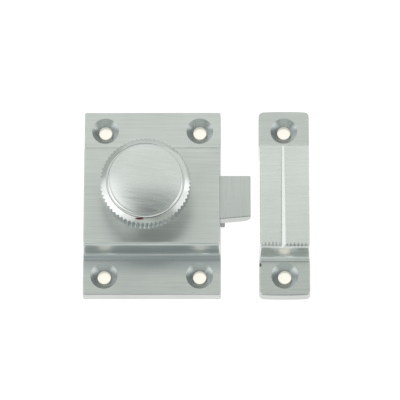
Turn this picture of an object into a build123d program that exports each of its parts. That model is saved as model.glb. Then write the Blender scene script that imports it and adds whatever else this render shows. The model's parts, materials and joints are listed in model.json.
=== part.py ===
"""Door catch: a cast case with a milled knob that draws a sprung bolt, and the keeper it shoots into.

Millimetres. The origin is the middle of the case's back face, +Z points out towards the knob,
+X points along the bolt towards the keeper, and the bolt is modelled shot, as it rests.
"""
import math
import os

from build123d import *

# Case casting
CASE_WIDTH = 50.0
CASE_LENGTH = 70.0
CASE_HEIGHT = 13.0
CASE_RAISED_LENGTH = 36.7
FLANGE_THICKNESS = 4.8
CASE_END_DRAFT = 1.6
CASE_FOOT_FILLET = 3.0
CASE_CORNER_ROUND = 0.8
CASE_WALL = 3.0
SIDE_DRAFT = 0.45
CREST_ROUND = 1.1
EDGE_ROUND = 0.4
CEILING = 1.6

# Keeper casting
KEEPER_WIDTH = 18.6
KEEPER_LENGTH = 70.6
KEEPER_HEIGHT = 13.5
KEEPER_RAISED_LENGTH = 38.7
KEEPER_END_DRAFT = 1.6
KEEPER_FOOT_FILLET = 2.2
KEEPER_CORNER_ROUND = 1.8
KEEPER_END_BOW = 0.3
KEEPER_PILLAR = 1.6
KEEPER_BACK_WALL = 2.6
KEEPER_GAP = 13.65
GROOVE_OFFSET = -0.6
GROOVE_LEAN = 0.35
GROOVE_FAR_WIDTH = 0.9
GROOVE_NEAR_WIDTH = 1.8
GROOVE_FAR_DEPTH = 0.27
GROOVE_NEAR_DEPTH = 0.55

# Wood screw holes, the same in both castings
SCREW_HOLE_RADIUS = 2.4
COUNTERSINK_RADIUS = 4.9
SCREW_SPACING_X = 34.5
SCREW_SPACING_Y = 55.2

# Knob
KNOB_X = -1.95
KNOB_RADIUS = 16.25
KNOB_RIM = 2.4
KNOB_TOP = 33.0
KNOB_DOME_RISE = 1.5
KNOB_FACE_ROLL = 1.1
KNOB_GROOVE = 0.25
KNOB_GROOVE_DEPTH = 0.3
KNOB_RING_DROP = 1.0
KNOB_RING_SLOPE = 0.4
KNOB_BAND = 5.6
KNOB_BAND_CHAMFER = 0.35
KNOB_TEETH = 64
KNOB_TOOTH_DEPTH = 0.6
KNOB_UNDERCUT = 1.0
KNOB_NECK_RADIUS = 6.4
KNOB_BASE_RADIUS = 8.6
KNOB_BASE_RIM = 1.0
KNOB_WASHER = 0.5
KNOB_WASHER_RADIUS = 8.2

# Spindle and crank
KNOB_TURN = 85.0
SPINDLE_RADIUS = 3.5
SPINDLE_THREAD_RADIUS = 3.0
SPINDLE_THREAD_LENGTH = 11.0
SPINDLE_SQUARE = 4.8
BOSS_WALL = 1.1
BOSS_DEPTH = 1.0
THRUST_WASHER = 0.35
CRANK_THICKNESS = 1.6
CRANK_TIP_RADIUS = 2.4
CRANK_PIN_RADIUS = 1.25
CRANK_SCREW_RADIUS = 1.5
CRANK_SCREW_LENGTH = 5.0
CRANK_SCREW_HEAD_RADIUS = 2.7
CRANK_SCREW_HEAD = 1.5
CRANK_WASHER = 0.5
GRUB_RADIUS = 1.5
GRUB_LENGTH = 3.0
GRUB_HEIGHT = 4.0

# Bolt
BOLT_WIDTH = 16.5
BOLT_THICKNESS = 5.2
BOLT_PROJECTION = 10.65
BOLT_TRAVEL = 9.5
BOLT_TAIL_THICKNESS = 2.2
BOLT_TAIL_LENGTH = 9.2
BOLT_NOSE_RADIUS = 3.0
BOLT_NOSE_TAPER = 0.95
BOLT_LUG_THICKNESS = 2.0
BOLT_LUG_WIDTH = 8.0
BOLT_LUG_INSET = 1.0

# Back plate, its screws and the spring
PLATE_THICKNESS = 1.5
PLATE_LAND = 3.8
PLATE_END_LAND = 1.4
PLATE_LIP_OUT = 1.4
PLATE_LIP_WIDTH = 15.6
PLATE_TAB_WIDTH = 10.0
PLATE_TAB_INSET = 1.5
PLATE_SCREW_INSET = 6.0
PLATE_SCREW_RADIUS = 1.25
PLATE_SCREW_LENGTH = 5.5
PLATE_SCREW_HEAD_RADIUS = 2.3
DRIVER_SLOT = 0.6
ROD_RADIUS = 1.0
ROD_HEAD = 0.6
SPRING_WIRE_RADIUS = 0.25
SPRING_RADIUS = 1.6
SPRING_TURNS = 11

# Clearances
SLIDE_CLEARANCE = 0.2
RUNNING_CLEARANCE = 0.05
PIN_CLEARANCE = 0.28
LOOSE_CLEARANCE = 0.35
THREAD_CLEARANCE = 0.02
KEEPER_CLEARANCE = 0.4

# Heights worked out from the sizes above
POCKET_TOP = CASE_HEIGHT - CEILING
BOSS_BOTTOM = POCKET_TOP - BOSS_DEPTH
CRANK_TOP = BOSS_BOTTOM - RUNNING_CLEARANCE - THRUST_WASHER
CRANK_BOTTOM = CRANK_TOP - CRANK_THICKNESS
WASHER_BOTTOM = CRANK_BOTTOM - CRANK_WASHER
TAIL_TOP = CRANK_BOTTOM - SLIDE_CLEARANCE
BOLT_BOTTOM = TAIL_TOP - BOLT_TAIL_THICKNESS
BOLT_TOP = BOLT_BOTTOM + BOLT_THICKNESS
PLATE_FOLD_TOP = BOLT_BOTTOM - SLIDE_CLEARANCE
ROD_HEIGHT = (PLATE_THICKNESS + BOLT_BOTTOM) / 2
KNOB_BASE = CASE_HEIGHT + KNOB_WASHER + RUNNING_CLEARANCE
KNOB_FACE_EDGE = KNOB_TOP - KNOB_DOME_RISE
KNOB_STEP = KNOB_FACE_EDGE - KNOB_FACE_ROLL
KNOB_SHOULDER = KNOB_STEP - KNOB_RING_DROP
KNOB_BAND_BOTTOM = KNOB_SHOULDER - KNOB_BAND

# Places in plan
KNOB_FACE_RADIUS = KNOB_RADIUS - KNOB_RIM
CASE_SIDE = CASE_WIDTH / 2
POCKET_SIDE = CASE_SIDE - CASE_WALL
BOSS_RADIUS = SPINDLE_RADIUS + BOSS_WALL
CRANK_RADIUS = BOLT_TRAVEL / (2 * math.sin(math.radians(KNOB_TURN / 2)))
PIN_X = KNOB_X + BOLT_TRAVEL / 2
PIN_Y = -CRANK_RADIUS * math.cos(math.radians(KNOB_TURN / 2))
POCKET_HALF = CRANK_RADIUS + CRANK_TIP_RADIUS + 2 * LOOSE_CLEARANCE
GUIDE_START = PIN_X + CRANK_TIP_RADIUS + LOOSE_CLEARANCE
MOUTH_HALF = BOLT_WIDTH / 2 + SLIDE_CLEARANCE
SLOT_HALF = CRANK_SCREW_HEAD_RADIUS + LOOSE_CLEARANCE
TAIL_END = KNOB_X - BOLT_TAIL_LENGTH
HEAD_START = KNOB_X + BOSS_RADIUS + BOLT_TRAVEL + LOOSE_CLEARANCE
BOLT_TIP = CASE_SIDE + BOLT_PROJECTION
LUG_END = POCKET_SIDE - BOLT_LUG_INSET
LUG_FACE = LUG_END - BOLT_LUG_THICKNESS
TAB_X = TAIL_END + PLATE_TAB_INSET
TAB_FACE = TAB_X + PLATE_THICKNESS
PLATE_HALF = POCKET_HALF + PLATE_LAND
PLATE_END = -POCKET_SIDE - PLATE_END_LAND
PLATE_SCREW_X = (PLATE_END + PLATE_SCREW_INSET, POCKET_SIDE - PLATE_SCREW_INSET)
PLATE_SCREW_Y = POCKET_HALF + PLATE_LAND / 2
KEEPER_X = CASE_SIDE + KEEPER_GAP + KEEPER_WIDTH / 2


def slab(x0, x1, width, z0, z1):
    """A box between two X places and two heights, centred on Y."""
    return Pos((x0 + x1) / 2, 0, (z0 + z1) / 2) * Box(x1 - x0, width, z1 - z0)


def disc(radius, z0, z1):
    """A cylinder on the knob's axis between two heights."""
    return Pos(KNOB_X, 0, (z0 + z1) / 2) * Cylinder(radius, z1 - z0)


def ring(inner, outer, z0, z1):
    """A flat ring on the knob's axis between two heights."""
    return disc(outer, z0, z1) - disc(inner, z0, z1)


def spring_line(radius, x0, x1):
    """A cylinder on the spring's axis between two X places."""
    return Pos((x0 + x1) / 2, 0, ROD_HEIGHT) * Rot(0, 90, 0) * Cylinder(radius, x1 - x0)


def nearest_corners(sketch, points):
    """The corners of a sketch that lie at the given points."""
    return [sketch.vertices().sort_by_distance(Vector(*point))[0] for point in points]


def bowed_plan(width, length, bow, corner_round):
    """A rectangle whose two short ends bulge outwards by the bow, with rounded corners."""
    x = width / 2
    y = length / 2 - bow
    far = ThreePointArc((x, y), (0, length / 2), (-x, y)) if bow else Line((x, y), (-x, y))
    near = ThreePointArc((-x, -y), (0, -length / 2), (x, -y)) if bow else Line((-x, -y), (x, -y))
    outline = make_face([far, Line((-x, y), (-x, -y)), near, Line((x, -y), (x, y))])
    return fillet(outline.vertices(), corner_round)


def bridge_casting(width, length, height, raised_length, end_draft, foot_fillet, corner_round, end_bow):
    """A raised block with a flange at each end: its side view cut to a drafted plan, edges softened."""
    top = raised_length / 2
    foot = top + end_draft
    end = length / 2 + end_bow
    right = [(top, height), (foot, FLANGE_THICKNESS), (end, FLANGE_THICKNESS), (end, 0)]
    left = [(-y, z) for y, z in reversed(right)]
    side_view = make_face(Polyline(*right, *left, close=True))
    side_view = fillet(nearest_corners(side_view, [right[1], left[2]]), foot_fillet)
    side_view = fillet(nearest_corners(side_view, [right[0], left[3]]), CREST_ROUND)
    block = extrude(Plane.YZ * side_view, width, both=True)

    draft_angle = math.degrees(math.atan(SIDE_DRAFT / height))
    plan = bowed_plan(width, length, end_bow, corner_round)
    body = block & extrude(plan, height, taper=draft_angle)
    rim = body.edges().filter_by(lambda edge: is_rim(edge, width, length, corner_round))
    return fillet(rim, EDGE_ROUND)


def is_rim(edge, width, length, corner_round):
    """True for an edge round the top of a casting: off the back face and close to a side or an end."""
    middle = edge.position_at(0.5)
    off_back = edge.bounding_box().min.Z > FLANGE_THICKNESS / 2
    near_side = abs(middle.X) > width / 2 - corner_round
    near_end = abs(middle.Y) > length / 2 - corner_round
    return off_back and (near_side or near_end)


def screw_hole():
    """A countersunk screw hole through a flange, standing on the back face."""
    depth = COUNTERSINK_RADIUS - SCREW_HOLE_RADIUS
    drill = Pos(0, 0, FLANGE_THICKNESS / 2) * Cylinder(SCREW_HOLE_RADIUS, FLANGE_THICKNESS)
    sink = Cone(SCREW_HOLE_RADIUS, COUNTERSINK_RADIUS, depth)
    return drill + Pos(0, 0, FLANGE_THICKNESS - depth / 2) * sink


def plate_screw_places():
    """The four back plate screws, as places on the back face."""
    return [Pos(x, side * PLATE_SCREW_Y, 0) for x in PLATE_SCREW_X for side in (-1, 1)]


def plate_screw(clearance):
    """A countersunk screw with its head flush with the back face, grown by a clearance."""
    head = PLATE_SCREW_HEAD_RADIUS - PLATE_SCREW_RADIUS
    cone = Cone(PLATE_SCREW_HEAD_RADIUS + clearance, PLATE_SCREW_RADIUS + clearance, head)
    length = PLATE_SCREW_LENGTH + clearance
    shank = Cylinder(PLATE_SCREW_RADIUS + clearance, length)
    return Pos(0, 0, head / 2) * cone + Pos(0, 0, length / 2) * shank


def make_case():
    """The case: pocket, bolt mouth, spindle boss, plate recess and screw holes in one casting."""
    case = bridge_casting(
        CASE_WIDTH,
        CASE_LENGTH,
        CASE_HEIGHT,
        CASE_RAISED_LENGTH,
        CASE_END_DRAFT,
        CASE_FOOT_FILLET,
        CASE_CORNER_ROUND,
        end_bow=0,
    )
    case -= slab(-POCKET_SIDE, GUIDE_START, 2 * POCKET_HALF, 0, POCKET_TOP)
    case -= slab(KNOB_X, CASE_WIDTH, 2 * MOUTH_HALF, 0, POCKET_TOP)
    case -= slab(PLATE_END, POCKET_SIDE, 2 * PLATE_HALF, 0, PLATE_THICKNESS)
    case += disc(BOSS_RADIUS, BOSS_BOTTOM, POCKET_TOP + CEILING / 2)
    case -= disc(SPINDLE_RADIUS + RUNNING_CLEARANCE, BOSS_BOTTOM, CASE_HEIGHT)
    for place in GridLocations(SCREW_SPACING_X, SCREW_SPACING_Y, 2, 2):
        case -= place * screw_hole()
    for place in plate_screw_places():
        case -= place * plate_screw(THREAD_CLEARANCE)
    return case


def make_keeper():
    """The keeper: a bridge casting hollowed from behind and open on the side of the bolt."""
    keeper = bridge_casting(
        KEEPER_WIDTH,
        KEEPER_LENGTH,
        KEEPER_HEIGHT,
        KEEPER_RAISED_LENGTH,
        KEEPER_END_DRAFT,
        KEEPER_FOOT_FILLET,
        KEEPER_CORNER_ROUND,
        KEEPER_END_BOW,
    )
    hollow_width = KEEPER_RAISED_LENGTH - 2 * KEEPER_PILLAR
    hollow_end = KEEPER_WIDTH / 2 - KEEPER_BACK_WALL
    keeper -= slab(-KEEPER_WIDTH, hollow_end, hollow_width, 0, BOLT_TOP + KEEPER_CLEARANCE)
    keeper -= keeper_groove()
    for place in GridLocations(0, SCREW_SPACING_Y, 1, 2):
        keeper -= place * screw_hole()
    return Pos(KEEPER_X, 0, 0) * keeper


def keeper_groove():
    """The tapered groove down the keeper's face, widest at the near end."""
    end = KEEPER_RAISED_LENGTH / 2 + KEEPER_END_DRAFT
    far = groove_section(GROOVE_FAR_WIDTH, GROOVE_FAR_DEPTH, end)
    near = groove_section(GROOVE_NEAR_WIDTH, GROOVE_NEAR_DEPTH, -end)
    return Pos(GROOVE_OFFSET, 0, 0) * loft([far, near])


def groove_section(width, depth, y):
    """One leaning V across the groove, as wide as the groove at the face and as far above it as below."""
    lean = GROOVE_LEAN * width
    top = KEEPER_HEIGHT + depth
    outline = Polyline((lean - width, top), (-lean, KEEPER_HEIGHT - depth), (lean + width, top), close=True)
    return Plane.XZ.offset(-y) * make_face(outline)


def knob_section():
    """Half the knob's section, radius against height: base, waisted neck, ring, groove and domed face."""
    under = KNOB_RADIUS - KNOB_TOOTH_DEPTH - KNOB_UNDERCUT
    base_top = KNOB_BASE + KNOB_BASE_RIM
    waist = (base_top + KNOB_BAND_BOTTOM) / 2
    ring_start = (KNOB_FACE_RADIUS + KNOB_GROOVE, KNOB_STEP)
    shoulder = (KNOB_RADIUS, KNOB_SHOULDER)
    groove_bottom = KNOB_STEP - KNOB_GROOVE_DEPTH
    roll_end = (KNOB_FACE_RADIUS, KNOB_STEP)
    roll = KNOB_FACE_ROLL * math.sqrt(0.5)
    roll_middle = (KNOB_FACE_RADIUS - KNOB_FACE_ROLL + roll, KNOB_STEP + roll)
    face_edge = (KNOB_FACE_RADIUS - KNOB_FACE_ROLL, KNOB_FACE_EDGE)
    dome = (face_edge[0] ** 2 + KNOB_DOME_RISE**2) / (2 * KNOB_DOME_RISE)
    half = face_edge[0] / 2
    dome_middle = (half, KNOB_TOP - dome + math.sqrt(dome**2 - half**2))
    foot = (KNOB_BASE_RADIUS, base_top)
    rim = [
        (under, KNOB_BAND_BOTTOM),
        (KNOB_RADIUS - KNOB_BAND_CHAMFER, KNOB_BAND_BOTTOM),
        (KNOB_RADIUS, KNOB_BAND_BOTTOM + KNOB_BAND_CHAMFER),
        shoulder,
    ]
    groove = [ring_start, (ring_start[0], groove_bottom), (KNOB_FACE_RADIUS, groove_bottom), roll_end]
    return make_face(
        [
            Polyline((0, KNOB_TOP), (0, KNOB_BASE), (KNOB_BASE_RADIUS, KNOB_BASE), foot),
            Spline(foot, (KNOB_NECK_RADIUS, waist), rim[0]),
            Polyline(*rim),
            TangentArc(ring_start, shoulder, tangent=(1, -KNOB_RING_SLOPE)),
            Polyline(*groove),
            ThreePointArc(roll_end, roll_middle, face_edge),
            ThreePointArc(face_edge, dome_middle, (0, KNOB_TOP)),
        ]
    )


def milling():
    """What the cutter takes off round the knob: straight V notches that run out through the ring."""
    step = math.pi / KNOB_TEETH
    radii = [KNOB_RADIUS, KNOB_RADIUS - KNOB_TOOTH_DEPTH] * KNOB_TEETH
    points = [(r * math.cos(i * step), r * math.sin(i * step)) for i, r in enumerate(radii)]
    waste = Circle(KNOB_RADIUS + KNOB_TOOTH_DEPTH) - make_face(Polyline(*points, close=True))
    return Pos(0, 0, KNOB_BAND_BOTTOM) * extrude(waste, KNOB_STEP - KNOB_BAND_BOTTOM)


def grub(radius, y0, y1):
    """A cylinder along +Y from the knob's axis, at the grub screw's height."""
    place = Pos(KNOB_X, (y0 + y1) / 2, KNOB_BASE + GRUB_HEIGHT)
    return place * Rot(90, 0, 0) * Cylinder(radius, y1 - y0)


def make_knob():
    """The knob: a turning with a milled edge, bored for the spindle and tapped for the grub screw."""
    knob = revolve(Plane.XZ * knob_section(), Axis.Z) - milling()
    knob = Pos(KNOB_X, 0, 0) * knob
    bore_top = KNOB_BASE + SPINDLE_THREAD_LENGTH + LOOSE_CLEARANCE
    knob -= disc(SPINDLE_THREAD_RADIUS + THREAD_CLEARANCE, KNOB_BASE, bore_top)
    knob -= grub(GRUB_RADIUS + THREAD_CLEARANCE, 0, KNOB_BASE_RADIUS + GRUB_LENGTH)
    return knob


def make_spindle():
    """The spindle: thread in the knob, journal in the case, square for the crank, tapped end."""
    spindle = disc(SPINDLE_THREAD_RADIUS, KNOB_BASE, KNOB_BASE + SPINDLE_THREAD_LENGTH)
    spindle += disc(SPINDLE_RADIUS, CRANK_TOP, KNOB_BASE)
    square = Pos(KNOB_X, 0, (CRANK_TOP + CRANK_BOTTOM) / 2)
    spindle += square * Box(SPINDLE_SQUARE, SPINDLE_SQUARE, CRANK_THICKNESS)
    tapped_end = WASHER_BOTTOM + CRANK_SCREW_LENGTH + LOOSE_CLEARANCE
    return spindle - disc(CRANK_SCREW_RADIUS + THREAD_CLEARANCE, CRANK_BOTTOM, tapped_end)


def make_crank():
    """The crank: a tapered arm with a square hole at the hub and a round one for its pin."""
    hub = Pos(KNOB_X, 0) * Circle(SPINDLE_RADIUS + BOSS_WALL - RUNNING_CLEARANCE)
    tip = Pos(PIN_X, PIN_Y) * Circle(CRANK_TIP_RADIUS)
    arm = make_hull(hub.edges() + tip.edges())
    fit = 2 * THREAD_CLEARANCE
    arm -= Pos(KNOB_X, 0) * Rectangle(SPINDLE_SQUARE + fit, SPINDLE_SQUARE + fit)
    arm -= Pos(PIN_X, PIN_Y) * Circle(CRANK_PIN_RADIUS + THREAD_CLEARANCE)
    return Pos(0, 0, CRANK_BOTTOM) * extrude(arm, CRANK_THICKNESS)


def make_crank_pin():
    """The pin that stands down from the crank into the bolt's notch."""
    bottom = BOLT_BOTTOM + SLIDE_CLEARANCE
    return Pos(PIN_X, PIN_Y, (bottom + CRANK_TOP) / 2) * Cylinder(CRANK_PIN_RADIUS, CRANK_TOP - bottom)


def make_crank_screw():
    """The slotted screw that holds the crank on the spindle, driven from behind."""
    head_bottom = WASHER_BOTTOM - CRANK_SCREW_HEAD
    screw = disc(CRANK_SCREW_HEAD_RADIUS, head_bottom, WASHER_BOTTOM)
    screw += disc(CRANK_SCREW_RADIUS, WASHER_BOTTOM, WASHER_BOTTOM + CRANK_SCREW_LENGTH)
    slot = Box(2 * CRANK_SCREW_HEAD_RADIUS, DRIVER_SLOT, 2 * DRIVER_SLOT)
    return screw - Pos(KNOB_X, 0, head_bottom) * slot


def is_bolt_edge(edge):
    """True for an edge along the top of the bolt's head, on either side."""
    middle = edge.position_at(0.5)
    on_top = edge.bounding_box().min.Z > BOLT_TOP - EDGE_ROUND / 2
    return on_top and abs(middle.Y) > BOLT_WIDTH / 2 - BOLT_NOSE_TAPER


def make_bolt():
    """The bolt: thick head with a rounded nose tapered on one side, thin slotted tail, spring lug."""
    profile = make_face(
        Polyline(
            (TAIL_END, BOLT_BOTTOM),
            (BOLT_TIP, BOLT_BOTTOM),
            (BOLT_TIP, BOLT_TOP),
            (HEAD_START, BOLT_TOP),
            (HEAD_START, TAIL_TOP),
            (TAIL_END, TAIL_TOP),
            close=True,
        )
    )
    profile = fillet(nearest_corners(profile, [(BOLT_TIP, BOLT_BOTTOM)]), BOLT_NOSE_RADIUS)
    profile = fillet(nearest_corners(profile, [(BOLT_TIP, BOLT_TOP)]), EDGE_ROUND)
    bolt = extrude(Plane.XZ * profile, BOLT_WIDTH / 2, both=True)
    side = BOLT_WIDTH / 2
    taper = Polyline((CASE_SIDE, -side), (BOLT_TIP, -side), (BOLT_TIP, BOLT_NOSE_TAPER - side), close=True)
    bolt -= Pos(0, 0, BOLT_BOTTOM) * extrude(make_face(taper), BOLT_THICKNESS)
    bolt = fillet(bolt.edges().filter_by(is_bolt_edge), EDGE_ROUND)
    bolt += slab(LUG_FACE, LUG_END, BOLT_LUG_WIDTH, PLATE_THICKNESS + SLIDE_CLEARANCE, TAIL_TOP)
    bolt -= spring_line(ROD_RADIUS + LOOSE_CLEARANCE, LUG_FACE, LUG_END)
    slot = extrude(SlotCenterToCenter(BOLT_TRAVEL, 2 * SLOT_HALF), BOLT_TAIL_THICKNESS)
    bolt -= Pos(PIN_X, 0, BOLT_BOTTOM) * slot
    notch_half = CRANK_PIN_RADIUS + PIN_CLEARANCE
    notch = Box(2 * notch_half, BOLT_WIDTH / 2, BOLT_TAIL_THICKNESS)
    return bolt - Pos(PIN_X, -BOLT_WIDTH / 4, (BOLT_BOTTOM + TAIL_TOP) / 2) * notch


def make_back_plate():
    """The back plate: folded sheet with a front lip under the bolt and a lanced tab for the rod."""
    plate = slab(PLATE_END + SLIDE_CLEARANCE, POCKET_SIDE - SLIDE_CLEARANCE,
                 2 * (PLATE_HALF - SLIDE_CLEARANCE), 0, PLATE_THICKNESS)
    lip_face = CASE_SIDE + PLATE_LIP_OUT
    plate += slab(KNOB_X, lip_face, PLATE_LIP_WIDTH, 0, PLATE_THICKNESS)
    plate += slab(lip_face - PLATE_THICKNESS, lip_face, PLATE_LIP_WIDTH, 0, PLATE_FOLD_TOP)
    fold = plate.edges().filter_by(Axis.Y).sort_by_distance(Vector(lip_face, 0, 0))[0]
    plate = fillet(fold, PLATE_THICKNESS / 2)
    plate += slab(TAB_X, TAB_FACE, PLATE_TAB_WIDTH, 0, PLATE_FOLD_TOP)
    plate -= slab(TAB_X - (PLATE_FOLD_TOP - PLATE_THICKNESS), TAB_X, PLATE_TAB_WIDTH, 0, PLATE_THICKNESS)
    plate -= spring_line(ROD_RADIUS + THREAD_CLEARANCE, TAB_X, TAB_FACE)
    for place in plate_screw_places():
        plate -= place * plate_screw(THREAD_CLEARANCE)
    return plate


def make_plate_screws():
    """The four back plate screws."""
    slot = Box(2 * PLATE_SCREW_HEAD_RADIUS, DRIVER_SLOT, DRIVER_SLOT)
    screw = (plate_screw(0) - slot).solid()
    return Compound(children=[place * screw for place in plate_screw_places()])


def make_spring_rod():
    """The rod through the spring, headed behind the tab and free in the bolt's lug."""
    rod = spring_line(ROD_RADIUS, TAB_X, LUG_END - LOOSE_CLEARANCE)
    return rod + spring_line(ROD_RADIUS + ROD_HEAD, TAB_X - ROD_HEAD, TAB_X)


def make_bolt_spring():
    """The coil spring between the tab and the bolt's lug."""
    start = TAB_FACE + SPRING_WIRE_RADIUS + SLIDE_CLEARANCE
    height = LUG_FACE - SPRING_WIRE_RADIUS - SLIDE_CLEARANCE - start
    pitch = height / SPRING_TURNS
    path = Helix(pitch, height, SPRING_RADIUS, center=(start, 0, ROD_HEIGHT), direction=(1, 0, 0))
    section = Plane(origin=path @ 0, z_dir=path % 0) * Circle(SPRING_WIRE_RADIUS)
    return sweep(section, path, is_frenet=True)


def make_parts():
    """Every piece of the catch and its keeper, by name."""
    journal = SPINDLE_RADIUS + RUNNING_CLEARANCE
    return {
        "case": make_case(),
        "keeper": make_keeper(),
        "knob": make_knob(),
        "knob_washer": ring(journal, KNOB_WASHER_RADIUS, CASE_HEIGHT, CASE_HEIGHT + KNOB_WASHER),
        "spindle": make_spindle(),
        "grub_screw": grub(GRUB_RADIUS, SPINDLE_THREAD_RADIUS, SPINDLE_THREAD_RADIUS + GRUB_LENGTH),
        "thrust_washer": ring(journal, BOSS_RADIUS, CRANK_TOP, CRANK_TOP + THRUST_WASHER),
        "crank": make_crank(),
        "crank_pin": make_crank_pin(),
        "crank_washer": ring(
            CRANK_SCREW_RADIUS + THREAD_CLEARANCE, CRANK_SCREW_HEAD_RADIUS, WASHER_BOTTOM, CRANK_BOTTOM
        ),
        "crank_screw": make_crank_screw(),
        "bolt": make_bolt(),
        "bolt_spring": make_bolt_spring(),
        "spring_rod": make_spring_rod(),
        "back_plate": make_back_plate(),
        "back_plate_screws": make_plate_screws(),
    }


os.makedirs("parts", exist_ok=True)
for name, shape in make_parts().items():
    export_step(shape, f"parts/{name}.step")
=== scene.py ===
"""Looks of a cabinet door catch: satin chrome castings, a milled knob, a sprung bolt and its keeper.

Metres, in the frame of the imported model: +Z points out of the door, +X along the bolt to the keeper.
"""
import json
import math

import bmesh
import bpy
import numpy as np
from mathutils import Matrix, Vector


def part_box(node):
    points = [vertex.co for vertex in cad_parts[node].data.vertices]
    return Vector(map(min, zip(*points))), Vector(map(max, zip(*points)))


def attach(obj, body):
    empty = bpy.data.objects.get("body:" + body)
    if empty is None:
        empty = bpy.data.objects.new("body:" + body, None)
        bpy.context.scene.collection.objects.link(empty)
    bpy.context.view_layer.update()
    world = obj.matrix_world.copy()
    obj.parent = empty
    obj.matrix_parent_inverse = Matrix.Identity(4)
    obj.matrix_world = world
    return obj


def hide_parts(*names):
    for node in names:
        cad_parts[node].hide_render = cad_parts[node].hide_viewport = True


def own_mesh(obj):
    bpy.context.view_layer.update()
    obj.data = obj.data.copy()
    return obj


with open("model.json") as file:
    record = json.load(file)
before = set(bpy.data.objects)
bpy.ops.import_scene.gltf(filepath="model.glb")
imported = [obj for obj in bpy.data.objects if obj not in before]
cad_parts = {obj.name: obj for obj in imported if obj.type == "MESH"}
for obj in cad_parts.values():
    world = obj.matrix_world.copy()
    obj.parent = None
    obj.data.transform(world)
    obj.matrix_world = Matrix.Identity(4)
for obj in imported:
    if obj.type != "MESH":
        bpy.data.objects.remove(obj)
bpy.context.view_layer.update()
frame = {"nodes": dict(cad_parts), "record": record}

MM = 0.001

# Camera, from where the photograph was taken
VIEW_TILT = math.radians(18.21)
VIEW_SIDE = math.radians(0.436)
VIEW_ROLL = math.radians(0.091)
VIEW_DISTANCE = 1200 * MM
VIEW_TARGET = Vector((17.312, 2.673, 0)) * MM
PIXELS_PER_METRE = 2741.4
IMAGE_WIDTH = 400
SENSOR_WIDTH = 36
VIEW_FAR = 100

# Light tent: its colour, and spots that add to it as direction, inner and outer angle, colour
TENT_COLOUR = (0.525, 0.565, 0.53)
TENT_SPOTS = {
    "camera": ((0.06, -0.24, 0.97), 4, 20, (-0.31, -0.33, -0.29)),
    "front_low": ((0.0, -0.96, 0.28), 8, 30, (0.02, 0.03, 0.04)),
    "front_high": ((0.0, -0.485, 0.875), 3, 12, (0.18, 0.19, 0.18)),
    "dim_front": ((0.0, -0.79, 0.62), 5, 17, (-0.20, -0.19, -0.16)),
    "dim_back": ((0.0, 1.0, 0.0), 6, 24, (-0.24, -0.24, -0.18)),
    "left_panel": ((-0.656, 0.0, 0.755), 13, 27, (0.72, 0.72, 0.74)),
    "left_front": ((-0.485, -0.24, 0.84), 11, 25, (0.60, 0.60, 0.62)),
    "left_low": ((-0.93, -0.2, 0.30), 10, 30, (0.55, 0.55, 0.57)),
    "right_panel": ((0.72, 0.0, 0.695), 12, 25, (0.62, 0.62, 0.64)),
    "right_low": ((0.93, -0.2, 0.30), 10, 30, (0.50, 0.50, 0.52)),
    "back_glow": ((0.0, 0.91, 0.41), 6, 28, (0.22, 0.23, 0.22)),
}
SOFTBOX_PLACE = Vector((0.05, 0.19, 0.22))
SOFTBOX_SIZE = (0.40, 0.32)
SOFTBOX_LEVEL = 0.36
SOFTBOX_COLOUR = (0.98, 1.0, 0.98)

# Floor
FLOOR_SIZE = 40.0
FLOOR_GLOW = (0.98, 0.98, 0.97, 1)
# Darker cream under the castings, seen through the screw holes: painted shade over the paper's own cream
SHADED_UNDER_GLOW = (0.92, 0.89, 0.79, 1)
UNDER_MARGIN = 1.0 * MM
FLOOR_PAINT = (0.12, 0.12, 0.12, 1)

# Colours
CHROME = (0.68, 0.69, 0.68)
BAND_CHROME = (0.77, 0.79, 0.79)
# Lighter copy of the chrome on the knob's neck: painted light, which also lightens its reflection in the
# plate under the knob
LIT_NECK_CHROME = (0.93, 0.94, 0.93)
CAST_CHROME = (0.625, 0.64, 0.625)
# Lighter copy of the casting's chrome on the case's near wall: painted light
LIT_CAST_WALL_CHROME = (0.755, 0.785, 0.77)
SINK_CHROME = (0.61, 0.64, 0.64)
# Darker copy of the chrome on the keeper's flanges: painted shade
SHADED_FLANGE_CHROME = (0.58, 0.595, 0.58)
# Lighter copy of the chrome on the keeper's near wall: painted light
LIT_KEEPER_WALL_CHROME = (0.88, 0.895, 0.88)
# Lighter copy of the chrome on the keeper's raised face: painted light
LIT_KEEPER_CHROME = (0.70, 0.715, 0.70)
BOLT_CHROME = (0.56, 0.57, 0.56)
STEEL = (0.42, 0.43, 0.44)
ZINC = (0.27, 0.28, 0.27)
SPRING_STEEL = (0.30, 0.30, 0.31)
NYLON = (0.72, 0.71, 0.66)
# Colour of the painted shade along the foot of the case's near wall
FOOT_SHADE_COLOUR = (0.42, 0.45, 0.465)
# Colour of the painted red reflection in the knob's ring
RED_REFLECTION = (0.17, 0.045, 0.035)
SCUFF = (0.47, 0.48, 0.48)
NICK = (0.12, 0.13, 0.13)

# Grains, as noise per metre along each axis
GRAIN_ACROSS = 1500.0
GRAIN_ALONG = 50.0
ALONG_X = (GRAIN_ALONG, GRAIN_ACROSS, GRAIN_ACROSS)
ALONG_Y = (GRAIN_ACROSS, GRAIN_ALONG, GRAIN_ACROSS)
FINE = (1500, 1500, 1500)
SINK_RINGS = (300, 300, 6000)
NECK_RINGS = (300, 300, 3000)
PLATE_MOTTLE = (700, 700, 700)
NYLON_MOTTLE = (900, 900, 900)
CLOUDS = (60, 60, 60)
CLOUD_SHARE = 0.35
NOISE_ROUGHNESS = 0.6
NOISE_RANGE = (0.3, 0.7)
GRAIN_RELIEF = 0.01 * MM
DOME_TURN = 8

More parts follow.
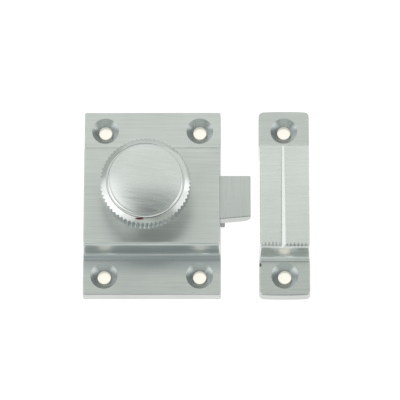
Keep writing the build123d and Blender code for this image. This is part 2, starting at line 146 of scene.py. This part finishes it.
# Metals: material, colour, grain and its turn in degrees, roughness, share of the relief, shade
METALS = {
    "casting": ("satin_chrome_casting", CAST_CHROME, ALONG_X, 0, (0.28, 0.39), 0.3, 0.11),
    "casting_lit_wall": ("satin_chrome_casting_wall", LIT_CAST_WALL_CHROME, ALONG_X, 0, (0.28, 0.39), 0.3, 0.11),
    "keeper": ("satin_chrome_lit_keeper", LIT_KEEPER_CHROME, ALONG_X, 0, (0.24, 0.34), 0.25, 0.08),
    "flange": ("satin_chrome_shaded_flange", SHADED_FLANGE_CHROME, ALONG_X, 0, (0.24, 0.34), 0.25, 0.08),
    "wall": ("satin_chrome_lit_wall", LIT_KEEPER_WALL_CHROME, ALONG_X, 0, (0.24, 0.34), 0.25, 0.08),
    "sink": ("turned_chrome_sink", SINK_CHROME, SINK_RINGS, 0, (0.17, 0.27), 0.3, 0.12),
    "dome": ("satin_chrome_dome", CHROME, ALONG_X, DOME_TURN, (0.2, 0.3), 0.25, 0.08),
    "ring": ("bright_chrome_ring", CHROME, FINE, 0, (0.12, 0.18), 0.05, 0.03),
    "band": ("bright_chrome_band", BAND_CHROME, FINE, 0, (0.12, 0.2), 0.08, 0.04),
    "neck": ("turned_lit_chrome_neck", LIT_NECK_CHROME, NECK_RINGS, 0, (0.18, 0.26), 0.15, 0.08),
    "bolt": ("satin_chrome_bolt", BOLT_CHROME, ALONG_Y, 0, (0.24, 0.34), 0.25, 0.08),
    "steel": ("bright_steel", STEEL, FINE, 0, (0.28, 0.4), 0.15, 0.06),
    "plate": ("zinc_plate", ZINC, PLATE_MOTTLE, 0, (0.34, 0.46), 0.2, 0.08),
    "spring": ("spring_steel", SPRING_STEEL, FINE, 0, (0.22, 0.34), 0.1, 0.06),
}
NYLON_SHADE = (0.93, 1.05)
NYLON_ROUGHNESS = (0.42, 0.55)
NYLON_RELIEF = 0.2

# Shading and merging of meshes
SMOOTH_ANGLE = math.radians(16)
FLAT_ANGLE = math.radians(0.1)
FLAT_FACE_WEIGHT = 100
MERGE_DISTANCE = 0.5e-6

# Marks as centre and half size, millimetres: wear, a painted shade and a painted reflection
# A painted red reflection in the knob's ring, just below the dome
RED_REFLECTION_SPOT = ((-3.9, -14.2, 30.3), (2.0, 0.5, 0.8))
CHATTER_LINES = (((43.2, -18.2, 13.4), (4.9, 0.9, 1.2)), ((52.2, -18.5, 13.4), (5.4, 1.0, 1.2)))
CHATTER_SPACING = 1.3
CHATTER_WOBBLE = 2.0
CHATTER_DETAIL = 1.0
CHATTER_DETAIL_SCALE = 0.4
CHATTER_CUT = (0.35, 0.75)
WAVE_RADIANS = 20
KEEPER_NICK = ((39.2, -23.6, 4.8), (0.55, 0.95, 0.8))
# Painted shade along the foot of the case's near wall, over the flange and the cove
FOOT_SHADE_PATCH = ((7.0, -22.0, 4.8), (80.0, 6.4, 2.8))
FOOT_EDGE = 1.0
SPOT_EDGE = 0.5

# Countersinks, found by their slope and their height in the flanges
SINK_SLOPE = (0.65, 0.76)
SINK_BOTTOM = 2.2 * MM
SINK_TOP = 4.8 * MM
RAISED_FROM = 4.9 * MM
WALL_FACING = -0.05

# Knob, the sizes of its turned profile
KNOB_RIM = 2.4 * MM
KNOB_DOME_RISE = 1.5 * MM
KNOB_FACE_ROLL = 1.1 * MM
KNOB_GROOVE = 0.25 * MM
KNOB_GROOVE_DEPTH = 0.3 * MM
KNOB_RING_DROP = 1.0 * MM
KNOB_RING_SLOPE = 0.4
KNOB_BAND = 5.6 * MM
KNOB_BAND_CHAMFER = 0.35 * MM
KNOB_TEETH = 64
KNOB_TOOTH_DEPTH = 0.6 * MM
KNOB_UNDERCUT = 1.0 * MM
KNOB_NECK_RADIUS = 6.4 * MM
KNOB_BASE_RADIUS = 8.6 * MM
KNOB_BASE_RIM = 1.0 * MM
KNOB_BORE_RADIUS = 3.02 * MM
KNOB_BORE_DEPTH = 11.35 * MM
GRUB_HOLE_RADIUS = 1.52 * MM
GRUB_HEIGHT = 4.0 * MM
GRUB_HOLE_DEPTH = 3.0 * MM
GRUB_HOLE_EDGE = 0.06 * MM
NECK_FROM = 1.5 * KNOB_BORE_RADIUS
POINTS_PER_TOOTH = 8
DOME_POINTS = 28
ROLL_POINTS = 14
RING_POINTS = 24
NECK_POINTS = 72
STRAIGHT_POINTS = 5
CREST_ROUNDING = 0.01

# Bolt spring
SPRING_RADIUS = 1.6 * MM
SPRING_WIRE_RADIUS = 0.25 * MM
SPRING_TURNS = 11
SPRING_DEAD_TURNS = 1.5
SPRING_DEAD_PITCH = 2.1 * SPRING_WIRE_RADIUS
SPRING_SIDES = 10
SPRING_POINTS = 640


# Meshes

def add_piece(name, mesh):
    """An object at the origin that shows a mesh whose place is in its vertices."""
    piece = bpy.data.objects.new(name, mesh)
    bpy.context.scene.collection.objects.link(piece)
    return piece


def grid_mesh(name, points):
    """A mesh of quads over a grid of points, rows by columns, in which the columns wrap round."""
    rows, columns = points.shape[:2]
    number = np.arange(rows * columns).reshape(rows, columns)
    below = number[:-1]
    above = number[1:]
    quads = np.stack(
        [below, np.roll(below, -1, axis=1), np.roll(above, -1, axis=1), above], axis=-1
    )
    mesh = bpy.data.meshes.new(name)
    mesh.from_pydata(points.reshape(-1, 3), [], quads.reshape(-1, 4))
    return mesh


def clean_up(mesh):
    """Merges doubles, so that seams and poles close, and turns the faces outwards."""
    work = bmesh.new()
    work.from_mesh(mesh)
    bmesh.ops.remove_doubles(work, verts=work.verts, dist=MERGE_DISTANCE)
    bmesh.ops.dissolve_degenerate(work, edges=work.edges, dist=MERGE_DISTANCE)
    bmesh.ops.recalc_face_normals(work, faces=work.faces)
    work.to_mesh(mesh)
    work.free()


def smooth(mesh):
    """Shades a mesh smooth, apart from edges sharper than the smoothing angle."""
    mesh.polygons.foreach_set("use_smooth", np.ones(len(mesh.polygons), bool))
    mesh.set_sharp_from_angle(angle=SMOOTH_ANGLE)


def smooth_copy(node):
    """A merged, smooth copy of a solid's mesh, without the normals that came with it.

    Normals are weighted by the area of the faces, so that the large flat faces still look flat.
    """
    mesh = frame["nodes"][node].data.copy()
    mesh.materials.clear()
    work = bmesh.new()
    work.from_mesh(mesh)
    bmesh.ops.remove_doubles(work, verts=work.verts, dist=MERGE_DISTANCE)
    bmesh.ops.dissolve_limit(work, angle_limit=FLAT_ANGLE, verts=work.verts, edges=work.edges)
    work.to_mesh(mesh)
    work.free()
    mesh.attributes.remove(mesh.attributes["custom_normal"])
    smooth(mesh)
    piece = add_piece(f"{node}_finished", mesh)
    weighted = piece.modifiers.new("flat_faces", "WEIGHTED_NORMAL")
    weighted.keep_sharp = True
    weighted.weight = FLAT_FACE_WEIGHT
    return piece


# Knob

def arc(centre, radius, start_deg, end_deg, count):
    """Points of a circle's arc from one angle to another, as radius and height."""
    turn = np.radians(np.linspace(start_deg, end_deg, count))
    return np.stack([centre[0] + radius * np.cos(turn), centre[1] + radius * np.sin(turn)], axis=-1)


def line(start, end):
    """Evenly spaced points of a straight stretch, as radius and height."""
    return np.linspace(start, end, STRAIGHT_POINTS)


def arc_leaving(start, tangent, end, count):
    """The arc that leaves a point along a tangent and ends at another point.

    Its centre lies on the line across the tangent at the start, where both ends are equally far away.
    """
    chord = np.subtract(end, start)
    across = np.array([tangent[1], -tangent[0]]) / np.hypot(*tangent)
    radius = chord @ chord / (2 * across @ chord)
    centre = start + radius * across
    out = np.subtract([start, end], centre)
    start_deg, end_deg = np.degrees(np.arctan2(out[:, 1], out[:, 0]))
    return arc(centre, radius, start_deg, end_deg, count)


def natural_spline(knots):
    """A smooth curve through three points: two cubics of chord length with no bend at the free ends."""
    knots = np.array(knots)
    span = np.linalg.norm(np.diff(knots, axis=0), axis=1)
    slope = np.diff(knots, axis=0) / span[:, None]
    bend = 3 * (slope[1] - slope[0]) / (span[0] + span[1])
    along = np.linspace(0, span.sum(), NECK_POINTS)[:, None]
    first = knots[0] + slope[0] * along + bend / 6 * (along**3 / span[0] - along * span[0])
    back = span.sum() - along
    second = knots[2] - slope[1] * back + bend / 6 * (back**3 / span[1] - back * span[1])
    return np.where(along < span[0], first, second)


def knob_profile(top, base, rim):
    """The knob's turned outline from the dome's middle to the bore, with the finish of each point.

    The finishes are 0 the dome, 1 its rolled edge, the groove and the ring, 2 the band, 3 what lies below.
    """
    face = rim - KNOB_RIM
    dome_edge = face - KNOB_FACE_ROLL
    step = top - KNOB_DOME_RISE - KNOB_FACE_ROLL
    groove = face + KNOB_GROOVE
    groove_bottom = step - KNOB_GROOVE_DEPTH
    shoulder = step - KNOB_RING_DROP
    bottom = shoulder - KNOB_BAND
    band_end = bottom + KNOB_BAND_CHAMFER
    lower_edge = rim - KNOB_BAND_CHAMFER
    under = rim - KNOB_TOOTH_DEPTH - KNOB_UNDERCUT
    base_top = base + KNOB_BASE_RIM
    waist = (base_top + bottom) / 2
    dome_radius = (dome_edge**2 + KNOB_DOME_RISE**2) / (2 * KNOB_DOME_RISE)
    edge_deg = 90 - math.degrees(math.asin(dome_edge / dome_radius))
    bore_top = base + KNOB_BORE_DEPTH
    dome = [arc((0, top - dome_radius), dome_radius, 90, edge_deg, DOME_POINTS)]
    ring = [
        arc((dome_edge, step), KNOB_FACE_ROLL, 90, 0, ROLL_POINTS)[1:],
        line((face, step), (face, groove_bottom))[1:],
        line((face, groove_bottom), (groove, groove_bottom))[1:],
        line((groove, groove_bottom), (groove, step))[1:],
        arc_leaving((groove, step), (1, -KNOB_RING_SLOPE), (rim, shoulder), RING_POINTS)[1:],
    ]
    band = [
        line((rim, shoulder), (rim, band_end))[1:],
        line((rim, band_end), (lower_edge, bottom))[1:],
    ]
    below = [
        line((lower_edge, bottom), (under, bottom))[1:],
        natural_spline([(under, bottom), (KNOB_NECK_RADIUS, waist), (KNOB_BASE_RADIUS, base_top)])[1:],
        line((KNOB_BASE_RADIUS, base_top), (KNOB_BASE_RADIUS, base))[1:],
        line((KNOB_BASE_RADIUS, base), (KNOB_BORE_RADIUS, base))[1:],
        line((KNOB_BORE_RADIUS, base), (KNOB_BORE_RADIUS, bore_top))[1:],
        line((KNOB_BORE_RADIUS, bore_top), (0, bore_top))[1:],
    ]
    groups = (dome, ring, band, below)
    outline = np.concatenate([stretch for group in groups for stretch in group])
    finish = np.repeat(np.arange(len(groups)), [sum(map(len, group)) for group in groups])
    return outline, finish


def milled_knob():
    """The knob: its profile turned about its axis, with its radius cut down to a row of teeth.

    A tooth's radius falls evenly from its crest to its root and back, with a little rounding at the
    crest, and the surface takes the smaller of that and the profile, so that the notches run out
    through the ring. The grub screw's hole is a pit: close to its axis the neck's surface is drawn in
    to the screw's end.
    """
    low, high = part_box("knob")
    axis_x = (low.x + high.x) / 2
    rim = (high.x - low.x) / 2
    outline, finish = knob_profile(high.z, low.z, rim)
    turn = np.arange(KNOB_TEETH * POINTS_PER_TOOTH) * (2 * math.pi / (KNOB_TEETH * POINTS_PER_TOOTH))
    phase = turn * KNOB_TEETH / (2 * math.pi)
    fall = 2 * np.abs(phase - np.round(phase))
    fall = np.sqrt(fall**2 + CREST_ROUNDING) - math.sqrt(CREST_ROUNDING)
    tooth = rim - KNOB_TOOTH_DEPTH * fall / fall.max()
    radius = np.minimum(outline[:, :1], tooth)
    height = np.broadcast_to(outline[:, 1:], radius.shape)

    across = np.abs(radius * np.cos(turn))
    hole = np.hypot(across, height - (low.z + GRUB_HEIGHT))
    on_neck = (np.sin(turn) > 0) & (radius > NECK_FROM) & (height > low.z)
    inside = np.clip((GRUB_HOLE_RADIUS - hole) / GRUB_HOLE_EDGE, 0, 1) * on_neck
    pit = KNOB_BORE_RADIUS + GRUB_HOLE_DEPTH
    radius = radius + inside * (np.minimum(pit, radius) - radius)

    points = np.stack([axis_x + radius * np.cos(turn), radius * np.sin(turn), height], axis=-1)
    mesh = grid_mesh("knob_turned", points[::-1])
    zone = np.repeat(finish[::-1][:-1], len(turn))
    mesh.polygons.foreach_set("material_index", zone.astype(np.int32))
    clean_up(mesh)
    smooth(mesh)
    return add_piece("knob_turned", mesh)


# Spring

def coil_spring():
    """The bolt's spring: a round wire carried along a helix whose pitch closes up at both ends.

    The share of the length covered after a turn is a smooth step, flat over the dead turns.
    """
    low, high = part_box("bolt_spring")
    start = low.x + SPRING_WIRE_RADIUS
    length = high.x - low.x - 2 * SPRING_WIRE_RADIUS
    centre_z = (low.z + high.z) / 2
    turns = np.linspace(0, SPRING_TURNS, SPRING_POINTS)
    live = np.clip((turns - SPRING_DEAD_TURNS) / (SPRING_TURNS - 2 * SPRING_DEAD_TURNS), 0, 1)
    dead = np.minimum(turns, SPRING_DEAD_TURNS) + np.maximum(turns - SPRING_TURNS + SPRING_DEAD_TURNS, 0)
    live_length = length - 2 * SPRING_DEAD_TURNS * SPRING_DEAD_PITCH
    along = start + dead * SPRING_DEAD_PITCH + live * live_length
    angle = 2 * math.pi * turns
    path = np.stack(
        [along, SPRING_RADIUS * np.cos(angle), centre_z + SPRING_RADIUS * np.sin(angle)], axis=-1
    )
    outward = np.stack([np.zeros_like(angle), np.cos(angle), np.sin(angle)], axis=-1)
    tangent = np.gradient(path, axis=0)
    tangent /= np.linalg.norm(tangent, axis=1, keepdims=True)
    sideways = np.cross(tangent, outward)
    around = np.arange(SPRING_SIDES) * (2 * math.pi / SPRING_SIDES)
    ring = (
        np.cos(around)[None, :, None] * outward[:, None, :]
        + np.sin(around)[None, :, None] * sideways[:, None, :]
    )
    tube = path[:, None, :] + SPRING_WIRE_RADIUS * ring
    first = np.broadcast_to(path[:1, None, :], (1, SPRING_SIDES, 3))
    last = np.broadcast_to(path[-1:, None, :], (1, SPRING_SIDES, 3))
    mesh = grid_mesh("bolt_spring_coiled", np.concatenate([first, tube, last]))
    clean_up(mesh)
    smooth(mesh)
    return add_piece("bolt_spring_coiled", mesh)


# Materials

def new_node(tree, kind, **settings):
    """A shader node with its settings; a setting named after a socket sets that socket."""
    node = tree.nodes.new(kind)
    for name, value in settings.items():
        if hasattr(node, name):
            setattr(node, name, value)
        else:
            node.inputs[name].default_value = value
    return node


def new_material(name):
    """An empty material with its default shader joined to its output."""
    material = bpy.data.materials.new(name)
    material.use_nodes = True
    tree = material.node_tree
    shader = tree.nodes["Principled BSDF"]
    return material, tree, shader


def object_noise(tree, stretch, turn_deg=0.0, detail=3.0):
    """Noise on Object coordinates, stretched by a scale per axis and turned about Z."""
    place = new_node(tree, "ShaderNodeTexCoord")
    mapping = new_node(tree, "ShaderNodeMapping")
    turned = new_node(tree, "ShaderNodeMapping")
    turned.inputs["Rotation"].default_value = (0, 0, math.radians(turn_deg))
    mapping.inputs["Scale"].default_value = stretch
    noise = new_node(tree, "ShaderNodeTexNoise", Scale=1.0, Detail=detail, Roughness=NOISE_ROUGHNESS)
    tree.links.new(place.outputs["Object"], turned.inputs["Vector"])
    tree.links.new(turned.outputs["Vector"], mapping.inputs["Vector"])
    tree.links.new(mapping.outputs["Vector"], noise.inputs["Vector"])
    return noise.outputs["Fac"]


def spread(tree, value, low, high):
    """A noise value's middle range mapped on to a range of the shader's own."""
    node = new_node(tree, "ShaderNodeMapRange")
    node.inputs["From Min"].default_value = NOISE_RANGE[0]
    node.inputs["From Max"].default_value = NOISE_RANGE[1]
    node.inputs["To Min"].default_value = low
    node.inputs["To Max"].default_value = high
    tree.links.new(value, node.inputs["Value"])
    return node.outputs["Result"]


def tinted(tree, colour, factor):
    """A colour times a varying factor."""
    node = new_node(tree, "ShaderNodeVectorMath", operation="SCALE")
    node.inputs[0].default_value = colour
    tree.links.new(factor, node.inputs["Scale"])
    return node.outputs["Vector"]


def patch(tree, centre, half_size, edge=SPOT_EDGE):
    """A soft-edged ellipsoid on Object coordinates, in millimetres: 1 inside and 0 outside."""
    place = new_node(tree, "ShaderNodeTexCoord")
    shift = new_node(tree, "ShaderNodeVectorMath", operation="SUBTRACT")
    shift.inputs[1].default_value = Vector(centre) * MM
    scale = new_node(tree, "ShaderNodeVectorMath", operation="DIVIDE")
    scale.inputs[1].default_value = Vector(half_size) * MM
    reach = new_node(tree, "ShaderNodeVectorMath", operation="LENGTH")
    tree.links.new(place.outputs["Object"], shift.inputs[0])
    tree.links.new(shift.outputs["Vector"], scale.inputs[0])
    tree.links.new(scale.outputs["Vector"], reach.inputs[0])
    fade = new_node(tree, "ShaderNodeMapRange", interpolation_type="SMOOTHSTEP")
    fade.inputs["From Min"].default_value = 1.0
    fade.inputs["From Max"].default_value = 1.0 - edge
    tree.links.new(reach.outputs["Value"], fade.inputs["Value"])
    return fade.outputs["Result"]


def chatter(tree, line):
    """Short strokes side by side along X within a patch: a wave with its troughs cut away.

    The wave texture runs through 20 radians in a unit of length at a scale of 1.
    """
    place = new_node(tree, "ShaderNodeTexCoord")
    wave = new_node(tree, "ShaderNodeTexWave", Distortion=CHATTER_WOBBLE, Detail=CHATTER_DETAIL)
    wave.inputs["Scale"].default_value = 2 * math.pi / (WAVE_RADIANS * CHATTER_SPACING * MM)
    wave.inputs["Detail Scale"].default_value = CHATTER_DETAIL_SCALE
    tree.links.new(place.outputs["Object"], wave.inputs["Vector"])
    stroke = new_node(tree, "ShaderNodeMapRange")
    stroke.inputs["From Min"].default_value = CHATTER_CUT[0]
    stroke.inputs["From Max"].default_value = CHATTER_CUT[1]
    tree.links.new(wave.outputs["Fac"], stroke.inputs["Value"])
    within = new_node(tree, "ShaderNodeMath", operation="MULTIPLY")
    tree.links.new(stroke.outputs["Result"], within.inputs[0])
    tree.links.new(patch(tree, *line), within.inputs[1])
    return within.outputs["Value"]


def paint_mark(material, mask, colour):
    """Lays a colour over a metal where a mask, made on the metal's own node tree, is 1."""
    tree = material.node_tree
    base = tree.nodes["Principled BSDF"].inputs["Base Color"]
    under = base.links[0].from_socket
    mix = new_node(tree, "ShaderNodeMix", data_type="RGBA")
    tree.links.new(mask, mix.inputs["Factor"])
    tree.links.new(under, mix.inputs["A"])
    mix.inputs["B"].default_value = (*colour, 1)
    tree.links.new(mix.outputs["Result"], base)


def brushed_metal(name, colour, grain, turn_deg, rough, relief, shade):
    """Satin metal: streaks along the brushing in its colour, its roughness and its relief."""
    material, tree, shader = new_material(name)
    streaks = object_noise(tree, grain, turn_deg)
    clouds = object_noise(tree, CLOUDS, detail=2.0)
    both = new_node(tree, "ShaderNodeMix")
    both.inputs["Factor"].default_value = CLOUD_SHARE
    tree.links.new(streaks, both.inputs["A"])
    tree.links.new(clouds, both.inputs["B"])
    factor = spread(tree, both.outputs["Result"], 1 - shade, 1 + shade)
    tree.links.new(tinted(tree, colour, factor), shader.inputs["Base Color"])
    tree.links.new(spread(tree, streaks, *rough), shader.inputs["Roughness"])
    bump = new_node(tree, "ShaderNodeBump", Strength=relief, Distance=GRAIN_RELIEF)
    tree.links.new(streaks, bump.inputs["Height"])
    tree.links.new(bump.outputs["Normal"], shader.inputs["Normal"])
    shader.inputs["Metallic"].default_value = 1.0
    return material


def moulded_nylon():
    """Pale nylon with a faint mottle and a fine moulded grain."""
    material, tree, shader = new_material("nylon")
    mottle = object_noise(tree, NYLON_MOTTLE, detail=4.0)
    tree.links.new(tinted(tree, NYLON, spread(tree, mottle, *NYLON_SHADE)), shader.inputs["Base Color"])
    tree.links.new(spread(tree, mottle, *NYLON_ROUGHNESS), shader.inputs["Roughness"])
    bump = new_node(tree, "ShaderNodeBump", Strength=NYLON_RELIEF, Distance=GRAIN_RELIEF)
    tree.links.new(mottle, bump.inputs["Height"])
    tree.links.new(bump.outputs["Normal"], shader.inputs["Normal"])
    return material


def make_materials():
    """Every finish, by name, with the marks of wear, the painted shade at the case's foot and the painted
    red reflection on the knob's ring on it.
    """
    finish = {name: brushed_metal(*values) for name, values in METALS.items()}
    finish["nylon"] = moulded_nylon()
    for line in CHATTER_LINES:
        for name in ("keeper", "wall"):
            paint_mark(finish[name], chatter(finish[name].node_tree, line), SCUFF)
    # Spots: a nick on the keeper, the painted shade at the case's foot and a painted red reflection on the
    # knob's ring
    spots = (
        (("flange", "wall"), KEEPER_NICK, SPOT_EDGE, NICK),
        (("casting", "casting_lit_wall"), FOOT_SHADE_PATCH, FOOT_EDGE, FOOT_SHADE_COLOUR),
        (("ring",), RED_REFLECTION_SPOT, SPOT_EDGE, RED_REFLECTION),
    )
    for names, place, edge, colour in spots:
        for name in names:
            paint_mark(finish[name], patch(finish[name].node_tree, *place, edge), colour)
    return finish


# Dressing

PLAIN_PIECES = {
    "bolt": ("bolt", "satin_chrome"),
    "knob_washer": ("nylon", "nylon"),
    "thrust_washer": ("steel", "bright_steel"),
    "spindle": ("steel", "bright_steel"),
    "grub_screw": ("steel", "bright_steel"),
    "crank": ("steel", "bright_steel"),
    "crank_pin": ("steel", "bright_steel"),
    "crank_washer": ("steel", "bright_steel"),
    "crank_screw": ("steel", "bright_steel"),
    "spring_rod": ("steel", "bright_steel"),
    "back_plate": ("plate", "bright_steel"),
    "back_plate_screws": ("steel", "bright_steel"),
}


def body_of(node):
    """The name of the body that carries a node."""
    bodies = frame["record"]["behaviour"]["bodies"]
    return next(body for body, members in bodies.items() if node in members)


def casting_zones(mesh):
    """Which finish each face of a casting has: 0 flanges, 1 raised part, 2 countersinks, 3 near wall.

    A countersink's cone slopes by 45 degrees, faces up and lies within the flange's thickness. The
    near wall with its cove is what faces to the front above the flanges; its finish is a lighter copy
    of the chrome, which is painted light.
    """
    normals = np.zeros(3 * len(mesh.polygons), np.float32)
    mesh.polygons.foreach_get("normal", normals)
    _, back, up = normals.reshape(-1, 3).T
    centres = np.zeros(3 * len(mesh.polygons), np.float32)
    mesh.polygons.foreach_get("center", centres)
    height = centres.reshape(-1, 3)[:, 2]
    on_cone = (up > SINK_SLOPE[0]) & (up < SINK_SLOPE[1]) & (height < SINK_TOP) & (height > SINK_BOTTOM)
    raised = np.where(back < WALL_FACING, 3, 1)
    return np.where(on_cone, 2, np.where(height > RAISED_FROM, raised, 0))


def dress(piece, node, finishes, zone=None):
    """Puts finishes on a piece, by zone where it has zones, and lets it stand for a node on its body."""
    piece.data.materials.clear()
    for finish in finishes:
        piece.data.materials.append(finish)
    if zone is not None:
        piece.data.polygons.foreach_set("material_index", zone.astype(np.int32))
    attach(piece, body_of(node))
    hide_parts(node)


def dress_catch(finish):
    """Every piece of the catch and its keeper."""
    for node, (name, slot) in PLAIN_PIECES.items():
        dress(smooth_copy(node), node, [finish[name]])
    # The near walls take lighter copies of the chrome, which is painted light.
    castings = {
        "case": ("casting", "casting", "sink", "casting_lit_wall"),
        # The keeper's flanges take a darker copy of the chrome, painted shade, and its raised face a
        # lighter one, painted light.
        "keeper": ("flange", "keeper", "sink", "wall"),
    }
    for node, names in castings.items():
        casting = smooth_copy(node)
        finishes = [finish[name] for name in names]
        dress(casting, node, finishes, casting_zones(casting.data))
    zones = [finish["dome"], finish["ring"], finish["band"], finish["neck"]]
    knob = milled_knob()
    zone = np.zeros(len(knob.data.polygons), np.int32)
    knob.data.polygons.foreach_get("material_index", zone)
    dress(knob, "knob", zones, zone)
    spring = coil_spring()
    dress(spring, "bolt_spring", [finish["spring"]])
    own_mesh(spring)


# Stage

def make_camera():
    """A long lens at the photograph's tilt, aimed so that the frame holds both halves as it does."""
    back = Vector((math.tan(VIEW_SIDE), -math.tan(VIEW_TILT), 1)).normalized()
    right = (-back).cross(Vector((0, 1, 0))).normalized()
    up = right.cross(-back)
    turned_right = math.cos(VIEW_ROLL) * right + math.sin(VIEW_ROLL) * up
    turned_up = math.cos(VIEW_ROLL) * up - math.sin(VIEW_ROLL) * right
    camera = bpy.data.objects.new("camera", bpy.data.cameras.new("camera"))
    camera.data.sensor_width = SENSOR_WIDTH
    camera.data.lens = PIXELS_PER_METRE * VIEW_DISTANCE * SENSOR_WIDTH / IMAGE_WIDTH
    camera.data.clip_end = VIEW_FAR
    axes = Matrix([turned_right, turned_up, back]).transposed().to_4x4()
    camera.matrix_world = Matrix.Translation(VIEW_TARGET + back * VIEW_DISTANCE) @ axes
    bpy.context.scene.collection.objects.link(camera)
    bpy.context.scene.camera = camera


def lobe(tree, direction, inner_deg, outer_deg):
    """A smooth spot in the tent round a direction: 1 within the inner angle, 0 past the outer one."""
    place = new_node(tree, "ShaderNodeTexCoord")
    dot = new_node(tree, "ShaderNodeVectorMath", operation="DOT_PRODUCT")
    dot.inputs[1].default_value = Vector(direction).normalized()
    tree.links.new(place.outputs["Generated"], dot.inputs[0])
    fade = new_node(tree, "ShaderNodeMapRange", interpolation_type="SMOOTHSTEP")
    fade.inputs["From Min"].default_value = math.cos(math.radians(outer_deg))
    fade.inputs["From Max"].default_value = math.cos(math.radians(inner_deg))
    tree.links.new(dot.outputs["Value"], fade.inputs["Value"])
    return fade.outputs["Result"]


def make_tent():
    """A white light tent, dimmer round the camera, in front and low behind, and brighter at the sides."""
    world = bpy.data.worlds.new("light_tent")
    bpy.context.scene.world = world
    world.use_nodes = True
    tree = world.node_tree
    colour = None
    for direction, inner_deg, outer_deg, spot_colour in TENT_SPOTS.values():
        add = new_node(tree, "ShaderNodeVectorMath", operation="MULTIPLY_ADD")
        tree.links.new(lobe(tree, direction, inner_deg, outer_deg), add.inputs[0])
        add.inputs[1].default_value = spot_colour
        add.inputs[2].default_value = TENT_COLOUR
        if colour is not None:
            tree.links.new(colour, add.inputs[2])
        colour = add.outputs["Vector"]
    tree.links.new(colour, tree.nodes["Background"].inputs["Color"])


def make_softbox():
    """A soft lamp above and behind, close enough to light the far end of the catch more than the near."""
    lamp = bpy.data.lights.new("softbox", "AREA")
    lamp.shape = "RECTANGLE"
    lamp.size, lamp.size_y = SOFTBOX_SIZE
    lamp.color = SOFTBOX_COLOUR
    lamp.energy = SOFTBOX_LEVEL * math.pi * SOFTBOX_SIZE[0] * SOFTBOX_SIZE[1]
    softbox = bpy.data.objects.new("softbox", lamp)
    softbox.location = SOFTBOX_PLACE
    softbox.visible_camera = False
    bpy.context.scene.collection.objects.link(softbox)


def footprint(tree, node):
    """1 on the floor under a node's box, drawn in by a margin, and 0 elsewhere."""
    low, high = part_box(node)
    place = new_node(tree, "ShaderNodeTexCoord")
    shift = new_node(tree, "ShaderNodeVectorMath", operation="SUBTRACT")
    shift.inputs[1].default_value = (low + high) / 2
    reach = new_node(tree, "ShaderNodeVectorMath", operation="ABSOLUTE")
    spare = new_node(tree, "ShaderNodeVectorMath", operation="SUBTRACT")
    spare.inputs[0].default_value = (high - low) / 2 - Vector((UNDER_MARGIN, UNDER_MARGIN, 0))
    sides = new_node(tree, "ShaderNodeSeparateXYZ")
    least = new_node(tree, "ShaderNodeMath", operation="MINIMUM")
    inside = new_node(tree, "ShaderNodeMath", operation="GREATER_THAN")
    inside.inputs[1].default_value = 0
    tree.links.new(place.outputs["Object"], shift.inputs[0])
    tree.links.new(shift.outputs["Vector"], reach.inputs[0])
    tree.links.new(reach.outputs["Vector"], spare.inputs[1])
    tree.links.new(spare.outputs["Vector"], sides.inputs["Vector"])
    tree.links.new(sides.outputs["X"], least.inputs[0])
    tree.links.new(sides.outputs["Y"], least.inputs[1])
    tree.links.new(least.outputs["Value"], inside.inputs[0])
    return inside.outputs["Value"]


def make_floor():
    """A pale floor: it glows for what looks at it, a darker cream where the castings lie on it, which is
    painted shade seen through the screw holes, and its paint keeps the object's shadow."""
    half = FLOOR_SIZE / 2
    mesh = bpy.data.meshes.new("floor")
    corners = [(-half, -half, 0), (half, -half, 0), (half, half, 0), (-half, half, 0)]
    mesh.from_pydata(corners, [], [(0, 1, 2, 3)])
    material = bpy.data.materials.new("pale_floor")
    material.use_nodes = True
    tree = material.node_tree
    tree.nodes.remove(tree.nodes["Principled BSDF"])
    paint = new_node(tree, "ShaderNodeBsdfDiffuse", Color=FLOOR_PAINT)
    glow = new_node(tree, "ShaderNodeEmission")
    covered = new_node(tree, "ShaderNodeMath", operation="MAXIMUM")
    tree.links.new(footprint(tree, "case"), covered.inputs[0])
    tree.links.new(footprint(tree, "keeper"), covered.inputs[1])
    paper_and_shade = new_node(tree, "ShaderNodeMix", data_type="RGBA", A=FLOOR_GLOW, B=SHADED_UNDER_GLOW)
    tree.links.new(covered.outputs["Value"], paper_and_shade.inputs["Factor"])
    tree.links.new(paper_and_shade.outputs["Result"], glow.inputs["Color"])
    path = new_node(tree, "ShaderNodeLightPath")
    seen = new_node(tree, "ShaderNodeMath", operation="MAXIMUM")
    looked_at = new_node(tree, "ShaderNodeMath", operation="MAXIMUM")
    tree.links.new(path.outputs["Is Camera Ray"], seen.inputs[0])
    tree.links.new(path.outputs["Is Glossy Ray"], seen.inputs[1])
    tree.links.new(seen.outputs["Value"], looked_at.inputs[0])
    tree.links.new(path.outputs["Is Transmission Ray"], looked_at.inputs[1])
    tree.links.new(looked_at.outputs["Value"], glow.inputs["Strength"])
    both = new_node(tree, "ShaderNodeAddShader")
    tree.links.new(paint.outputs["BSDF"], both.inputs[0])
    tree.links.new(glow.outputs["Emission"], both.inputs[1])
    tree.links.new(both.outputs["Shader"], tree.nodes["Material Output"].inputs["Surface"])
    mesh.materials.append(material)
    add_piece("floor", mesh)


dress_catch(make_materials())
make_floor()
make_tent()
make_softbox()
make_camera()
bpy.context.scene.view_settings.view_transform = "Standard"
